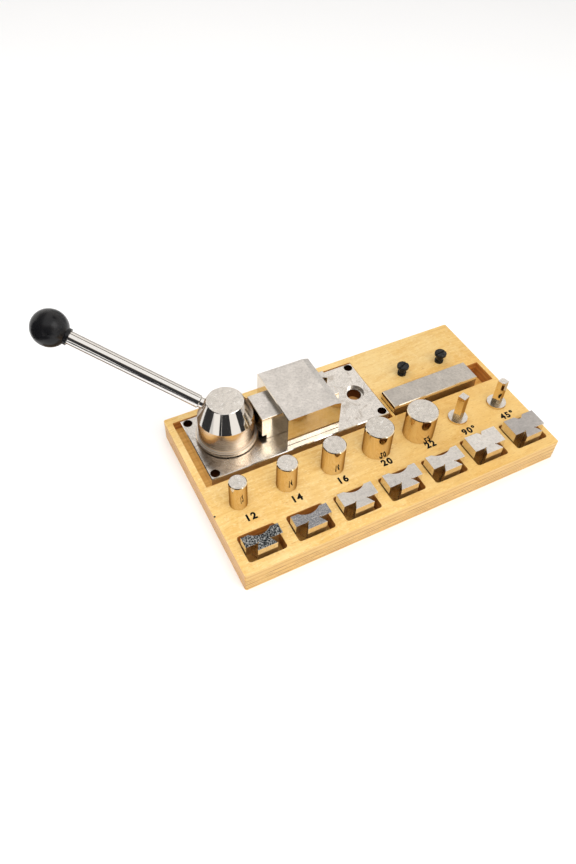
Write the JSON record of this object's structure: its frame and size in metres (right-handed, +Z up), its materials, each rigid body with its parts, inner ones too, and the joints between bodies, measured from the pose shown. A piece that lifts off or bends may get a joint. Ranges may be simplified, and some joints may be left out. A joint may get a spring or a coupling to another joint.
{
  "type": "jeweller's ring bending press",
  "caption": "Bench press for bending ring shanks: lever-turned eccentric hub pushes a dovetailed ram at a former, stored on a plywood board with formers and dies.",
  "frame": {"origin": "centre of the underside of the plywood board", "axes": "+Z up out of the board; +X along the board's length, the way the ram moves towards the former socket; +Y towards the edge of the board that the press stands at"},
  "size_m": [0.3099, 0.192, 0.1039],
  "materials": {
    "birch_plywood": "clear varnished birch plywood",
    "plated_plate": "ground and bright nickel plated",
    "ground_steel": "surface ground, satin",
    "polished_steel": "polished cone and cylinder, satin turned top",
    "chromed_rod": "bright chrome",
    "black_plastic": "glossy black phenolic",
    "brass_insert": "machined brass",
    "bronze": "machined bronze",
    "scaled_steel": "coarse dark scaled top, ground sides",
    "die_steel": "fine milled top, polished sides",
    "former_steel": "polished side, satin turned top",
    "blackened_steel": "black oxide",
    "spring_steel": "drawn wire and ground pins"
  },
  "bodies": {
    "board": {"wooden_board": "birch_plywood"},
    "press": {"base_plate": "plated_plate", "guide_housing": "ground_steel", "housing_screws": "blackened_steel", "dowel_pins": "spring_steel", "pivot_bush": "bronze", "thrust_washer": "bronze", "spring_pin": "spring_steel", "return_spring": "spring_steel"},
    "hub": {"eccentric_hub": "polished_steel", "retaining_washer": "spring_steel", "retaining_screw": "blackened_steel", "lever_rod": "chromed_rod", "ball_knob": "black_plastic", "knob_insert": "brass_insert"},
    "ram": {"ram": "ground_steel"},
    "die_12": {"die_12": "scaled_steel"},
    "die_14": {"die_14": "scaled_steel"},
    "die_16": {"die_16": "die_steel"},
    "die_20": {"die_20": "die_steel"},
    "die_22": {"die_22": "die_steel"},
    "die_90_deg": {"die_90_deg": "die_steel"},
    "die_45_deg": {"die_45_deg": "die_steel"},
    "former_12": {"former_12": "former_steel"},
    "former_14": {"former_14": "former_steel"},
    "former_16": {"former_16": "former_steel"},
    "former_20": {"former_20": "former_steel"},
    "former_22": {"former_22": "former_steel"},
    "former_90_deg": {"former_90_deg": "former_steel"},
    "former_45_deg": {"former_45_deg": "former_steel"},
    "steel_block": {"steel_block": "ground_steel"},
    "left_shoulder_screw": {"left_shoulder_screw": "blackened_steel"},
    "right_shoulder_screw": {"right_shoulder_screw": "blackened_steel"}
  },
  "joints": [
    {"name": "press_lift", "type": "slide", "parent": "board", "child": "press", "axis": [0, 0, 1], "range_m": [0, 0.03]},
    {"name": "lever_swing", "type": "hinge", "parent": "press", "child": "hub", "pos_m": [-0.0823, 0.0327, 0.0196], "axis": [0, 0, -1], "range_deg": [0, 112]},
    {"name": "ram_slide", "type": "slide", "parent": "press", "child": "ram", "axis": [1, 0, 0], "range_m": [0, 0.00996], "stiffness_N_per_m": 600, "springref_m": -0.006, "deforming": ["return_spring"]},
    {"name": "die_12_lift", "type": "slide", "parent": "board", "child": "die_12", "axis": [0, 0, 1], "range_m": [0, 0.03]},
    {"name": "die_14_lift", "type": "slide", "parent": "board", "child": "die_14", "axis": [0, 0, 1], "range_m": [0, 0.03]},
    {"name": "die_16_lift", "type": "slide", "parent": "board", "child": "die_16", "axis": [0, 0, 1], "range_m": [0, 0.03]},
    {"name": "die_20_lift", "type": "slide", "parent": "board", "child": "die_20", "axis": [0, 0, 1], "range_m": [0, 0.03]},
    {"name": "die_22_lift", "type": "slide", "parent": "board", "child": "die_22", "axis": [0, 0, 1], "range_m": [0, 0.03]},
    {"name": "die_90_deg_lift", "type": "slide", "parent": "board", "child": "die_90_deg", "axis": [0, 0, 1], "range_m": [0, 0.03]},
    {"name": "die_45_deg_lift", "type": "slide", "parent": "board", "child": "die_45_deg", "axis": [0, 0, 1], "range_m": [0, 0.03]},
    {"name": "former_12_lift", "type": "slide", "parent": "board", "child": "former_12", "axis": [0, 0, 1], "range_m": [0, 0.03]},
    {"name": "former_14_lift", "type": "slide", "parent": "board", "child": "former_14", "axis": [0, 0, 1], "range_m": [0, 0.03]},
    {"name": "former_16_lift", "type": "slide", "parent": "board", "child": "former_16", "axis": [0, 0, 1], "range_m": [0, 0.03]},
    {"name": "former_20_lift", "type": "slide", "parent": "board", "child": "former_20", "axis": [0, 0, 1], "range_m": [0, 0.03]},
    {"name": "former_22_lift", "type": "slide", "parent": "board", "child": "former_22", "axis": [0, 0, 1], "range_m": [0, 0.03]},
    {"name": "former_90_deg_lift", "type": "slide", "parent": "board", "child": "former_90_deg", "axis": [0, 0, 1], "range_m": [0, 0.03]},
    {"name": "former_45_deg_lift", "type": "slide", "parent": "board", "child": "former_45_deg", "axis": [0, 0, 1], "range_m": [0, 0.03]},
    {"name": "steel_block_lift", "type": "slide", "parent": "board", "child": "steel_block", "axis": [0, 0, 1], "range_m": [0, 0.03]},
    {"name": "left_shoulder_screw_lift", "type": "slide", "parent": "board", "child": "left_shoulder_screw", "axis": [0, 0, 1], "range_m": [0, 0.03]},
    {"name": "right_shoulder_screw_lift", "type": "slide", "parent": "board", "child": "right_shoulder_screw", "axis": [0, 0, 1], "range_m": [0, 0.03]}
  ],
  "couplings": [
    {"joint": "ram_slide", "follows": "lever_swing", "m_per_rad": 0.0050893}
  ]
}
